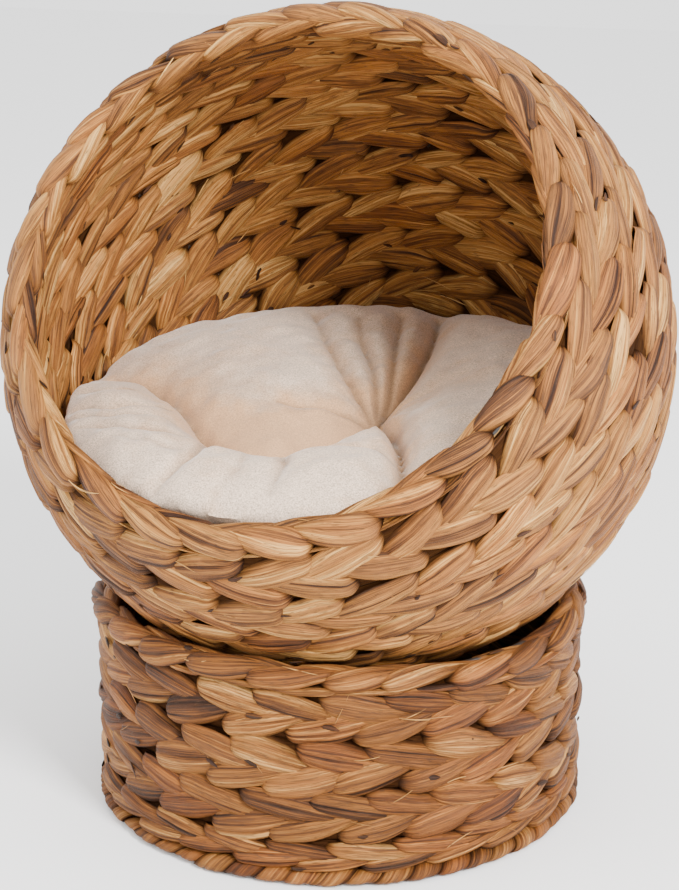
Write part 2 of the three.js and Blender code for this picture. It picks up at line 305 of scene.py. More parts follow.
def herringbone(made, surface, weave, rng, outer_flow):
    """Lays a plaited row's leaves on both its faces; those of the inner face flow the other way."""
    count = max(3, round(TAU * surface.radius / weave.spacing))
    step = TAU / count
    first = rng.uniform(0, TAU)
    for face in (1, -1):
        flow = outer_flow * face
        for side in (1, -1):
            along, over, rise, tone, leaf = leaves(weave, count, rng)
            slots = np.arange(count)[:, None, None] + (0.5 if side == 1 else 0)
            turn = first + (slots + along) * step * flow
            points = surface.place(turn, side * over, face * rise)
            if flow * side * face < 0:
                points, leaf, tone, rise = (part[:, :, ::-1] for part in (points, leaf, tone, rise))
            # The inner face's leaves get INNER_PAINTED_LIGHT, and each leaf's height is its depth, which
            # sets its painted crevice shade.
            made.add(points, leaf, tone + INNER_PAINTED_LIGHT * (face == -1), rise)


SLIVER_STEPS, SLIVER_CORNERS = 9, 6
SLIVER_DEPTH = 0.012      # in the weave, where nothing hides them
PALE_FRAYS = dict(per_metre=10, half_width=0.0005, span=(0.012, 0.030), lift=(0.0000, 0.0018), tone=0.88)
DARK_KNOTS = dict(per_metre=10, half_width=0.0019, span=(0.006, 0.013), lift=(0.0004, 0.0020), tone=0.08)


def slivers(made, surface, weave, rng, per_metre, half_width, span, lift, tone):
    """Loose ends on a row's two faces: thin strips that lie on the leaves and rise at their free end.

    `span` and `lift` are the least and the most of their lengths and of how far their ends rise.
    """
    count = max(4, round(TAU * surface.radius * per_metre))
    shape = (count, 1, 1)
    q = np.linspace(0, 1, SLIVER_STEPS)[None, :, None]
    taper = 0.12 + 0.88 * np.sin(math.pi * (0.15 + 0.8 * q))
    angle = np.arange(SLIVER_CORNERS) * TAU / SLIVER_CORNERS
    across, up = np.cos(angle), np.sin(angle)
    for face in (1, -1):
        length = rng.uniform(*span, shape)
        heading = rng.normal(0, 0.35, shape)
        half = half_width * rng.uniform(0.6, 1.3, shape) * taper
        reach = q * length
        curl = rng.normal(0, 0.18, shape) * reach * q
        over = (rng.uniform(-0.8, 0.8, shape) * (weave.start + weave.half_width * 0.5)
                + reach * np.sin(heading) + curl + half * across)
        turn = rng.uniform(0, TAU, shape) + reach * np.cos(heading) / surface.radius
        rise = weave.high - 0.0012 + rng.uniform(*lift, shape) * q ** 1.5 + 0.35 * half * up
        points = surface.place(turn, over, face * rise)
        shades = np.broadcast_to(np.clip(tone + rng.normal(0, 0.07, shape), -0.1, 1.2), rise.shape)
        leaf = spread(rise.shape, reach, half * across, rng.uniform(0, PATTERN_SPREAD, shape))
        if face == -1:
            points, leaf = points[:, :, ::-1], leaf[:, :, ::-1]
        made.add(points, leaf, shades, np.full(rise.shape, SLIVER_DEPTH))


def hidden_band(made, surface, weave):
    """The inner leaves of a row, as one closed band that shows only deep in the gaps between the others."""
    steps = max(24, int(TAU * surface.radius / BAND_STEP))
    turn, angle = np.meshgrid(np.arange(steps) * TAU / steps,
                              np.arange(BAND_CORNERS) * TAU / BAND_CORNERS, indexing="ij")
    over, rise = np.cos(angle) * weave.band, np.sin(angle) * weave.band_thick
    leaf = spread(turn.shape, turn * surface.radius, over, 0)
    tone, depth = np.full(turn.shape, BAND_TONE), np.full(turn.shape, BAND_DEPTH)
    made.add_ring(surface.place(turn, over, rise), leaf, tone, depth)


def mesh_object(name, vertices, face_sets, material, smooth=True):
    """A new mesh object from arrays of points and of faces; each set's faces have equal corners."""
    mesh = bpy.data.meshes.new(name)
    starts, first = [], 0
    for faces in face_sets:
        starts.append(first + np.arange(len(faces)) * faces.shape[1])
        first += faces.size
    mesh.vertices.add(len(vertices))
    mesh.vertices.foreach_set("co", np.asarray(vertices, np.float32).ravel())
    mesh.loops.add(first)
    corners = np.concatenate([faces.ravel() for faces in face_sets])
    mesh.loops.foreach_set("vertex_index", corners.astype(np.int32))
    starts = np.concatenate(starts).astype(np.int32)
    mesh.polygons.add(len(starts))
    mesh.polygons.foreach_set("loop_start", starts)
    mesh.polygons.foreach_set("use_smooth", np.full(len(starts), smooth))
    mesh.update(calc_edges=True)
    mesh.validate()
    made = bpy.data.objects.new(name, mesh)
    bpy.context.scene.collection.objects.link(made)
    mesh.materials.append(material)
    return made


def woven_object(name, made, material):
    """The mesh object of collected leaves, with the attributes that its material reads."""
    faces = [np.concatenate(made.quads)]
    if made.fans:
        faces.append(np.concatenate(made.fans))
    woven = mesh_object(name, np.concatenate(made.points), faces, material)
    attributes = woven.data.attributes
    leaf = np.concatenate(made.leaf).astype(np.float32)
    attributes.new("leaf", "FLOAT_VECTOR", "POINT").data.foreach_set("vector", leaf.ravel())
    for label, values in (("tone", made.tone), ("depth", made.depth)):
        values = np.concatenate(values).astype(np.float32)
        attributes.new(label, "FLOAT", "POINT").data.foreach_set("value", values)
    return woven


def plaited_row(name, surface, weave, seed, material, body, outer_flow):
    """One plaited row, which stands for the CAD node of the same name."""
    rng = np.random.default_rng(seed)
    made = Collected()
    herringbone(made, surface, weave, rng, outer_flow)
    hidden_band(made, surface, weave)
    slivers(made, surface, weave, rng, **PALE_FRAYS)
    slivers(made, surface, weave, rng, **DARK_KNOTS)
    row = woven_object(f"{name}_weave", made, material)
    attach(row, body)
    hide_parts(name)


# ------------------------------------------------------------------ materials

class Nodes:
    """Short words for building a material's node tree."""

    def __init__(self, name):
        self.material = bpy.data.materials.new(name)
        self.material.use_nodes = True
        self.tree = self.material.node_tree
        self.shader = self.tree.nodes["Principled BSDF"]

    def add(self, kind, **settings):
        node = self.tree.nodes.new(kind)
        for key, value in settings.items():
            setattr(node, key, value)
        return node

    def link(self, source, target):
        self.tree.links.new(source, target)

    def attribute(self, name):
        return self.add("ShaderNodeAttribute", attribute_name=name)

    def scaled(self, vector, scale):
        node = self.add("ShaderNodeVectorMath", operation="MULTIPLY")
        self.link(vector, node.inputs[0])
        node.inputs[1].default_value = scale
        return node.outputs["Vector"]

    def noise(self, vector, scale=1.0, detail=3.0, rough=0.55):
        node = self.add("ShaderNodeTexNoise")
        self.link(vector, node.inputs["Vector"])
        node.inputs["Scale"].default_value = scale
        node.inputs["Detail"].default_value = detail
        node.inputs["Roughness"].default_value = rough
        return node.outputs["Fac"]

    def maths(self, operation, first, second=None, third=None):
        node = self.add("ShaderNodeMath", operation=operation)
        for socket, value in zip(node.inputs, (first, second, third)):
            if value is None:
                continue
            if isinstance(value, (int, float)):
                socket.default_value = value
            else:
                self.link(value, socket)
        return node.outputs[0]

    def ramp(self, factor, stops):
        node = self.add("ShaderNodeValToRGB")
        self.link(factor, node.inputs["Fac"])
        elements = node.color_ramp.elements
        while len(elements) < len(stops):
            elements.new(0.5)
        for element, (place, colour) in zip(elements, stops):
            element.position = place
            element.color = (*colour, 1)
        return node.outputs["Color"]

    def mixed(self, factor, first, second, blend="MIX"):
        node = self.add("ShaderNodeMix", data_type="RGBA", blend_type=blend)
        for socket, value in ((node.inputs["Factor"], factor), (node.inputs["A"], first),
                              (node.inputs["B"], second)):
            if isinstance(value, (int, float)):
                socket.default_value = value
            elif isinstance(value, tuple):
                socket.default_value = (*value, 1)
            else:
                self.link(value, socket)
        return node.outputs["Result"]

    def bump(self, height, strength, distance):
        node = self.add("ShaderNodeBump")
        node.inputs["Strength"].default_value = strength
        node.inputs["Distance"].default_value = distance
        self.link(height, node.inputs["Height"])
        return node.outputs["Normal"]


DARK_LEAF = (0.060, 0.028, 0.012)     # of cracks and flecks
CREVICE_SHADE = (0.018, 0.007, 0.003)       # painted shade, deep between the leaves
HIDDEN_BELOW, SEEN_ABOVE = 0.0022, 0.0086     # heights over a row's middle layer, over which the painted crevice shade fades out
POD_STOPS = [
    (0.02, (0.019, 0.006, 0.002)),
    (0.27, (0.098, 0.035, 0.009)),
    (0.50, (0.258, 0.099, 0.021)),
    (0.72, (0.375, 0.165, 0.035)),
    (0.98, (0.620, 0.365, 0.120)),
]
BASE_STOPS = [
    (0.02, (0.016, 0.005, 0.001)),
    (0.27, (0.073, 0.024, 0.005)),
    (0.50, (0.168, 0.058, 0.010)),
    (0.72, (0.252, 0.098, 0.018)),
    (0.98, (0.475, 0.255, 0.078)),
]


def leaf_material(name, stops, ruddy):
    """Dried leaf: fibres along it, a drifting tone, dark cracks and flecks, and black painted shade in the
    crevices.

    The leaf coordinates are metres along and across a leaf and a number of its own, which sets how far
    its colour goes to `ruddy`.
    """
    n = Nodes(name)
    leaf = n.attribute("leaf").outputs["Vector"]
    tone = n.attribute("tone").outputs["Fac"]
    fine = n.noise(n.scaled(leaf, (20, 2300, 1)), 1, 3, 0.65)
    broad = n.noise(n.scaled(leaf, (10, 520, 1)), 1, 3, 0.55)
    patch = n.noise(n.scaled(leaf, (18, 70, 1)), 1, 3, 0.6)
    mixed = n.maths("MULTIPLY_ADD", n.maths("SUBTRACT", fine, 0.5), 1.25, tone)
    mixed = n.maths("MULTIPLY_ADD", n.maths("SUBTRACT", broad, 0.5), 1.05, mixed)
    mixed = n.maths("MULTIPLY_ADD", n.maths("SUBTRACT", patch, 0.5), 0.55, mixed)
    colour = n.ramp(mixed, stops)
    sort = n.add("ShaderNodeTexWhiteNoise", noise_dimensions="1D")
    parts = n.add("ShaderNodeSeparateXYZ")
    n.link(leaf, parts.inputs[0])
    n.link(parts.outputs["Z"], sort.inputs["W"])
    redness = n.maths("MULTIPLY", n.maths("POWER", sort.outputs["Value"], 2.0), 0.55)
    colour = n.mixed(redness, colour, ruddy, "MULTIPLY")
    crack = n.noise(n.scaled(leaf, (16, 420, 1)), 1, 2, 0.6)
    off_middle = n.maths("ABSOLUTE", n.maths("SUBTRACT", crack, 0.50))
    near_crack = n.maths("ABSOLUTE", n.maths("SUBTRACT", off_middle, 0.06))
    cracked = n.maths("MULTIPLY", n.maths("LESS_THAN", near_crack, 0.012), 0.60)
    colour = n.mixed(cracked, colour, DARK_LEAF)
    fleck = n.noise(n.scaled(leaf, (130, 1500, 1)), 1, 1, 0.5)
    flecked = n.maths("MULTIPLY", n.maths("GREATER_THAN", fleck, 0.72), 0.5)
    colour = n.mixed(flecked, colour, DARK_LEAF)
    # Painted shade: the deeper a leaf lies in the weave, the nearer its colour goes to CREVICE_SHADE, and
    # the less it reflects.
    hidden = n.add("ShaderNodeMapRange", interpolation_type="SMOOTHSTEP")
    for socket, value in (("From Min", HIDDEN_BELOW), ("From Max", SEEN_ABOVE),
                          ("To Min", 0.95), ("To Max", 0.0)):
        hidden.inputs[socket].default_value = value
    n.link(n.maths("ABSOLUTE", n.attribute("depth").outputs["Fac"]), hidden.inputs["Value"])
    colour = n.mixed(hidden.outputs["Result"], colour, CREVICE_SHADE)
    n.link(colour, n.shader.inputs["Base Color"])
    n.link(n.maths("MULTIPLY_ADD", broad, 0.30, 0.42), n.shader.inputs["Roughness"])
    n.link(n.maths("MULTIPLY_ADD", hidden.outputs["Result"], -0.2, 0.2),
           n.shader.inputs["Specular IOR Level"])
    height = n.maths("MULTIPLY_ADD", fine, 0.55, broad)
    height = n.maths("SUBTRACT", height, n.maths("MULTIPLY", cracked, 0.6))
    n.link(n.bump(height, 1.0, 0.0014), n.shader.inputs["Normal"])
    return n.material


def wire_material():
    """Dark painted steel wire, a little uneven and rubbed."""
    n = Nodes("wire_looks")
    place = n.add("ShaderNodeTexCoord").outputs["Object"]
    rubbed = n.noise(place, 160, 4, 0.6)
    n.link(n.ramp(rubbed, [(0.45, (0.012, 0.010, 0.009)), (0.75, (0.060, 0.045, 0.035))]),
           n.shader.inputs["Base Color"])
    n.link(n.maths("MULTIPLY_ADD", rubbed, 0.4, 0.3), n.shader.inputs["Roughness"])
    n.link(n.bump(rubbed, 0.5, 0.0004), n.shader.inputs["Normal"])
    return n.material


pod_leaf = leaf_material("pod_leaf_looks", POD_STOPS, (1.0, 0.74, 0.55))
base_leaf = leaf_material("base_leaf_looks", BASE_STOPS, (1.0, 0.70, 0.58))


# ------------------------------------------------------------------ pod

POD_ROWS = 12
POD_SEED = 100
RIM_CREST = 0.0188    # from the rim's edge to the middle of its roll
RIM_THICK, RIM_TALL = 0.0105, 0.0182      # half sizes of the rim's roll
RIM_TUCK = 0.0055     # how far the first row reaches in under the rim's plait
COIL_PLACE = 0.55     # of the coil's middle, from its edge to the pole


def make_pod():
    """The rim's plait, the rows behind it, and the coil that closes the back."""
    rim_edge = polar_span("pod_rim_plait")[0]
    middle = rim_edge + RIM_CREST / WALL_MIDDLE
    rim = rolled(BALL_CENTRE, MOUTH_AXIS, MOUTH_UP, WALL_MIDDLE * math.sin(middle),
                 WALL_MIDDLE * math.cos(middle), middle - math.pi / 2, RIM_THICK, RIM_TALL)
    plaited_row("pod_rim_plait", rim, Weave(band=0.016), POD_SEED, pod_leaf, "pod", POD_FLOW)
    for index in range(1, POD_ROWS + 1):
        name = f"pod_row_{index:02d}"
        first, last = polar_span(name)
        if index == 1:
            first -= RIM_TUCK / WALL_MIDDLE
        surface = ball_row((first + last) / 2)
        weave = Weave(size=(last - first) * WALL_MIDDLE / ROW_WIDTH)
        plaited_row(name, surface, weave, POD_SEED + index, pod_leaf, "pod", POD_FLOW)
    coil_edge = polar_span("pod_centre_coil")[0]
    coil = Weave(size=0.62, spacing=0.040)
    surface = ball_row(coil_edge + COIL_PLACE * (math.pi - coil_edge))
    plaited_row("pod_centre_coil", surface, coil, POD_SEED + 20, pod_leaf, "pod", POD_FLOW)


# ------------------------------------------------------------------ base

BASE_ROWS = 4
BASE_SEED = 300
BORDER_CREST = 0.0150     # under the border's top
BORDER_THICK, BORDER_TALL = 0.0100, 0.0140
BORDER_RISE, BORDER_SAG = 0.003, 0.0062
FOOT_SPACING = 0.0215     # between the strips wound round the foot's hoop
FOOT_HALF_WIDTH, FOOT_SLANT = 0.0120, 0.0300
FOOT_THICK, FOOT_TALL = 0.0098, 0.0060      # how far the strips lie off the hoop's middle
FOOT_START, FOOT_TURN = -2.2, TAU + 0.7     # where a strip starts round the hoop, and how far it goes
GROUND_GAP = 0.0002       # kept between the strips and the ground


def border_lift(turn):
    """How far above its level the border lies: it sags at the right, where it leaves a gap to the pod."""
    def near(middle, reach):
        return np.exp(-(((turn - middle + math.pi) % TAU - math.pi) / reach) ** 2)
    return BORDER_RISE * near(-0.6, 0.6) - BORDER_SAG * near(1.15, 0.5)


def make_base():
    """The ring's stacked rows, and the border rolled over the top one."""
    wall_inner = float(np.linalg.norm((node_points("base_row_2") - BASE_CENTRE)[:, :2], axis=1).min())
    wall_middle = (BASE_OUTER + wall_inner) / 2
    for index in range(1, BASE_ROWS + 1):
        name = f"base_row_{index}"
        low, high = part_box(name)
        weave = Weave(size=(high.z - low.z) / ROW_WIDTH)
        surface = upright_row(wall_middle, (low.z + high.z) / 2)
        plaited_row(name, surface, weave, BASE_SEED + index, base_leaf, "base", BASE_FLOW)
    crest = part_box("base_border_plait")[1].z - BORDER_CREST
    border = rolled(BASE_CENTRE, UP, FRONT, BASE_WIRE, crest, 0.0, BORDER_THICK, BORDER_TALL)
    border.lift = border_lift
    plaited_row("base_border_plait", border, Weave(size=0.9, band=0.012), BASE_SEED + 10, base_leaf,
                "base", BASE_FLOW)


def make_foot():
    """Strips wound side by side round the foot's hoop, flat where the bed stands on them."""
    rng = np.random.default_rng(BASE_SEED + 20)
    hoop_centre, radius = hoop("base_foot_hoop")
    count = round(TAU * radius / FOOT_SPACING)
    across, section, on_face = leaf_section()
    shape = (count, 1, 1)
    q = np.linspace(0, 1, 34)[None, :, None]
    taper = np.clip(np.minimum(q, 1 - q) / 0.04, 0.15, 1)
    half = rng.normal(FOOT_HALF_WIDTH, 0.0012, shape) * taper
    slant = rng.normal(FOOT_SLANT, 0.0050, shape)
    groove = sum(np.exp(-((across - rng.uniform(-0.8, 0.8, shape)) / 0.09) ** 2) for _ in range(3))
    rise = rng.normal(0, 0.0005, shape) + 0.0016 * section - 0.0006 * groove * on_face
    angle = FOOT_START + q * FOOT_TURN
    turn = (np.arange(count)[:, None, None] * TAU / count + rng.normal(0, 0.0012, shape)
            + (half * across + slant * (q - 0.5)) / radius)
    rise = rise + 0.0004 * q
    out = radius + (FOOT_THICK + rise) * np.cos(angle)
    high = np.maximum(hoop_centre[2] + (FOOT_TALL + rise) * np.sin(angle), GROUND_GAP)
    away = np.cos(turn)[..., None] * FRONT + np.sin(turn)[..., None] * SIDE
    points = BASE_CENTRE + away * out[..., None] + UP * high[..., None]
    # A random tone, with painted shade in the grooves and along the strips' edges, where they meet.
    tone = rng.normal(0.56, 0.10, shape) - 0.16 * groove * on_face - 0.60 * np.abs(across) ** 10
    leaf = spread(rise.shape, q * 0.05 + rng.uniform(0, PATTERN_SPREAD, shape), across * FOOT_HALF_WIDTH,
                  rng.uniform(0, PATTERN_SPREAD, shape))
    made = Collected()
    # The depths put painted crevice shade on the strips' edges and hidden faces.
    made.add(points, leaf, np.broadcast_to(tone, rise.shape),
             np.broadcast_to(0.008 + 0.005 * section, rise.shape))
    foot = woven_object("base_foot_binding_weave", made, base_leaf)
    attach(foot, "base")
    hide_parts("base_foot_binding")


def finish_wires():
    """Gives both wire frames, which keep their CAD shape, their looks."""
    looks = wire_material()
    for name, node in nodes.items():
        if any(word in name for word in ("_hoop", "_rib_", "_upright_")):
            for material_slot in node.material_slots:
                material_slot.material = looks


# ------------------------------------------------------------------ cushion

CUSHION_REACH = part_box("cushion_cover")[1].x    # its radius, a little inside the pod's wall
TUFT = (0.026, 0.008)                           # over the ball's centre
CUSHION_TILT = 0.095                            # how much the cushion rises towards the back
CROWN_HEIGHT = -0.025                           # of the top over the ball's centre, between the folds
EDGE_FALL, FRONT_FALL = 0.022, 0.020            # how far the edge falls, and how much more in front
VALLEY = (-0.034, -0.066)                       # the middle of the broad hollow in front of the tuft
CUSHION_SEED = 500
CUSHION_RINGS, CUSHION_TURNS = 110, 200         # of the form before it is remeshed
VOXEL = 0.0049                                  # the remesh's cells
SWELL_CAP = 0.009                               # how far the cloth may swell
CLOTH_FRAMES = 20
SOFT, SHARP = False, True                       # what hollow_at gives
# Folds of the top, as paths over the ball's centre in metres, each with its depth and half-width.
FOLDS = [
    ((TUFT, (0.018, -0.034), (0.006, -0.084), (-0.014, -0.104), (-0.046, -0.098), (-0.086, -0.062),
      (-0.118, -0.030), (-0.155, -0.004), (-0.192, 0.004)), 0.028, 0.022),
    ((TUFT, (0.030, 0.040), (0.033, 0.085), (0.027, 0.140), (0.016, 0.190)), 0.022, 0.011),
    ((TUFT, (0.054, -0.034), (0.076, -0.080), (0.092, -0.122), (0.106, -0.165)), 0.020, 0.010),
    ((TUFT, (0.006, 0.026), (-0.022, 0.058), (-0.050, 0.100), (-0.080, 0.150)), 0.012, 0.007),
    ((TUFT, (0.018, 0.034), (0.002, 0.068), (-0.024, 0.112), (-0.040, 0.150)), 0.012, 0.007),
    ((TUFT, (0.024, 0.045), (0.012, 0.090), (0.000, 0.132), (-0.010, 0.170)), 0.014, 0.008),
    ((TUFT, (0.006, 0.000), (-0.018, -0.014), (-0.040, -0.022)), 0.010, 0.009),
    (((0.008, -0.112), (0.036, -0.106), (0.062, -0.104), (0.090, -0.122)), 0.009, 0.011),
    (((-0.060, -0.112), (-0.053, -0.150), (-0.062, -0.190)), 0.010, 0.007),
    (((-0.016, -0.142), (-0.010, -0.170), (-0.016, -0.200)), 0.005, 0.007),
    (((0.004, -0.120), (0.016, -0.150), (0.022, -0.190)), 0.009, 0.007),
    (((-0.150, -0.046), (-0.170, -0.050), (-0.192, -0.048)), 0.009, 0.006),
    (((-0.112, -0.066), (-0.155, -0.078), (-0.186, -0.076)), 0.011, 0.007),
    (((-0.096, -0.088), (-0.138, -0.096), (-0.176, -0.098)), 0.008, 0.006),
    (((-0.074, -0.120), (-0.118, -0.116), (-0.162, -0.114)), 0.008, 0.006),
    (((-0.066, -0.148), (-0.118, -0.138)), 0.005, 0.006),
]


def path_distance(x, y, path):
    """The distance of points from a path, and how far along it (0 to 1) the nearest place is."""
    corners = np.array(path)
    best = np.full(x.shape, 9.0)
    share = np.zeros(x.shape)
    for index in range(len(corners) - 1):
        first, last = corners[index], corners[index + 1]
        step = last - first
        along = ((x - first[0]) * step[0] + (y - first[1]) * step[1]) / (step @ step)
        along = np.clip(along, 0, 1)
        away = np.hypot(x - first[0] - along * step[0], y - first[1] - along * step[1])
        nearer = away < best
        best = np.where(nearer, away, best)
        share = np.where(nearer, (index + along) / (len(corners) - 1), share)
    return best, share


def hollow_at(x, y, sharp):
    """How deep the folds cut: as broad soft troughs, or as the thin creases at their bottoms."""
    total = np.zeros(x.shape)
    for path, deep, wide in FOLDS:
        away, share = path_distance(x, y, path)
        fade = np.minimum(1, 0.45 + 3 * share) * (1 - 0.55 * share**2)
        if sharp:
            total = np.maximum(total, 0.34 * deep * fade * np.exp(-(away / (0.12 * wide + 0.0022)) ** 2))
        else:
            total = np.maximum(total, 1.35 * deep * fade * np.exp(-(away / (1.20 * wide)) ** 1.2))
    return total


def crown(x, y):
    """The height of the cushion's top over the ball's centre."""
    reach = np.hypot(x, y) / CUSHION_REACH
    to_tuft = np.hypot(x - TUFT[0], y - TUFT[1])
    fall = EDGE_FALL + FRONT_FALL * np.clip(-y / CUSHION_REACH, 0, 1)
    height = CROWN_HEIGHT - fall * reach**8 + CUSHION_TILT * y
    height -= 0.010 * np.exp(-(to_tuft / 0.085) ** 2) + 0.016 * np.exp(-(to_tuft / 0.026) ** 1.3)
    height -= 0.013 * np.exp(-((x - VALLEY[0]) ** 2 + (y - VALLEY[1]) ** 2) / 0.046**2)
    return height - hollow_at(x, y, SOFT)


def cushion_blank():
    """A closed form: the crowned top, and an underside that lies in the ball."""
    turn = np.arange(CUSHION_TURNS) * TAU / CUSHION_TURNS
    share = np.arange(1, CUSHION_RINGS)[:, None] / CUSHION_RINGS
    reach = CUSHION_REACH - 0.004
    out = reach * np.minimum(share * 2, 1) ** 0.9 * 0.985
    x, y = out * np.cos(turn), out * np.sin(turn)
    top = crown(x, y)
    x_edge, y_edge = 0.985 * reach * np.cos(turn), 0.985 * reach * np.sin(turn)
    edge = crown(x_edge, y_edge) - 0.005
    low = np.clip((share - 0.5) * 2, 0, 1)
    angle = np.arcsin(edge / reach) * (1 - low) + low * -math.pi / 2
    under = share >= 0.5
    x = np.where(under, reach * np.cos(angle) * np.cos(turn), x)
    y = np.where(under, reach * np.cos(angle) * np.sin(turn), y)
    z = np.where(under, reach * np.sin(angle), top)
    points = np.stack([x, y, z], -1).reshape(-1, 3)
    points = np.concatenate([points, [[0, 0, float(crown(np.zeros(1), np.zeros(1))[0])], [0, 0, -reach]]])
    rings = np.arange((CUSHION_RINGS - 1) * CUSHION_TURNS).reshape(CUSHION_RINGS - 1, CUSHION_TURNS)
    ahead = np.roll(rings, -1, 1)
    quads = np.stack([rings[:-1], rings[1:], ahead[1:], ahead[:-1]], -1).reshape(-1, 4)
    pole = len(points) - 2
    fans = [np.stack([rings[0], ahead[0], np.full(CUSHION_TURNS, pole)], -1),
            np.stack([ahead[-1], rings[-1], np.full(CUSHION_TURNS, pole + 1)], -1)]
    return points + BALL_CENTRE, [quads, np.concatenate(fans)]


def mesh_points(mesh):
    points = np.empty(len(mesh.vertices) * 3, np.float32)
    mesh.vertices.foreach_get("co", points)
    return points.reshape(-1, 3).astype(float)


def made_real(piece):
    """Gives an object the mesh that its modifiers make, and removes them."""
    depsgraph = bpy.context.evaluated_depsgraph_get()
    piece.data = bpy.data.meshes.new_from_object(piece.evaluated_get(depsgraph))
    piece.modifiers.clear()


def inflate(piece, held):
    """Swells a closed mesh as pressed cloth, and lets no point move more than the cap."""
    before = mesh_points(piece.data)
    group = piece.vertex_groups.new(name="held")
    for index, weight in enumerate(held):
        if weight > 0.02:
            group.add([index], float(min(weight, 1)), "REPLACE")
    cloth = piece.modifiers.new("cloth", "CLOTH")
    cloth.settings.quality = 4
    cloth.settings.mass = 0.3
    cloth.settings.tension_stiffness = 12
    cloth.settings.compression_stiffness = 12
    cloth.settings.bending_stiffness = 0.4
    cloth.settings.use_pressure = True
    cloth.settings.uniform_pressure_force = 4
    cloth.settings.vertex_group_mass = "held"
    cloth.settings.effector_weights.gravity = 0
    for number in range(1, CLOTH_FRAMES + 1):
        bpy.context.scene.frame_set(number)
    made_real(piece)
    piece.vertex_groups.clear()
    after = mesh_points(piece.data)
    moved = after - before
    far = np.linalg.norm(moved, axis=1, keepdims=True)
    after = before + moved * np.minimum(1, SWELL_CAP / np.maximum(far, 1e-9))
    piece.data.vertices.foreach_set("co", after.astype(np.float32).ravel())
    piece.data.update()
    bpy.context.scene.frame_set(1)


def sharpen_folds(piece, rng):
    """Cuts the thin creases, the pleats round the tuft and a soft unevenness into the top."""
    mesh = piece.data
    points = mesh_points(mesh)
    normals = np.empty(len(points) * 3, np.float32)
    mesh.vertex_normals.foreach_get("vector", normals)
    normals = normals.reshape(-1, 3).astype(float)
    local = points - BALL_CENTRE
    x, y = local[:, 0], local[:, 1]
    top = np.clip((normals[:, 2] + 0.1) / 0.4, 0, 1)
    deep = hollow_at(x, y, SHARP)
    to_tuft = np.hypot(x - TUFT[0], y - TUFT[1])
    round_tuft = np.arctan2(y - TUFT[1], x - TUFT[0])
    for _ in range(16):
        turn = rng.uniform(-math.pi, math.pi)
        apart = np.abs((round_tuft - turn + math.pi) % TAU - math.pi) * to_tuft
        reach = rng.uniform(0.018, 0.045)
        deep += 0.0022 * np.exp(-(apart / 0.0024) ** 2) * np.exp(-to_tuft / reach)
    for _ in range(40):
        direction = rng.uniform(0, TAU)
        waves = rng.uniform(12, 60)
        along = x * math.cos(direction) + y * math.sin(direction)
        deep += 0.010 / waves * np.sin(TAU * waves * along + rng.uniform(0, TAU)) * 0.5
    points = points - UP * (deep * top)[:, None]
    local = points - BALL_CENTRE
    reach = np.linalg.norm(local, axis=1, keepdims=True)
    local *= np.minimum(1, (CUSHION_REACH + 0.0004) / reach)
    mesh.vertices.foreach_set("co", (local + BALL_CENTRE).astype(np.float32).ravel())
    mesh.update()
    # Where the top is painted warm, without the painted sheen: the hollows, round the tuft and a patch in
    # front of it.
    hollows_without_painted_sheen = np.clip(hollow_at(x, y, SOFT) / 0.022, 0, 1) + 0.5 * np.exp(-(to_tuft / 0.05) ** 2)
    hollows_without_painted_sheen += 0.8 * np.exp(-((x + 0.030) ** 2 + (y + 0.060) ** 2) / 0.045**2)
    # Painted shade along the bottoms of the folds, thin and strongest near where they start.
    painted_crease_shade = np.zeros(len(points))
    for path, deep, wide in FOLDS:
        away, share = path_distance(x, y, path)
        strong = min(deep / 0.020, 1)
        painted_crease_shade = np.maximum(painted_crease_shade, strong * (1 - 0.5 * share) * np.exp(-(away / 0.0027) ** 2))
    for label, values in (("hollows_without_painted_sheen", hollows_without_painted_sheen), ("painted_crease_shade", painted_crease_shade * top)):
        mesh.attributes.new(label, "FLOAT", "POINT").data.foreach_set("value", values.astype(np.float32))


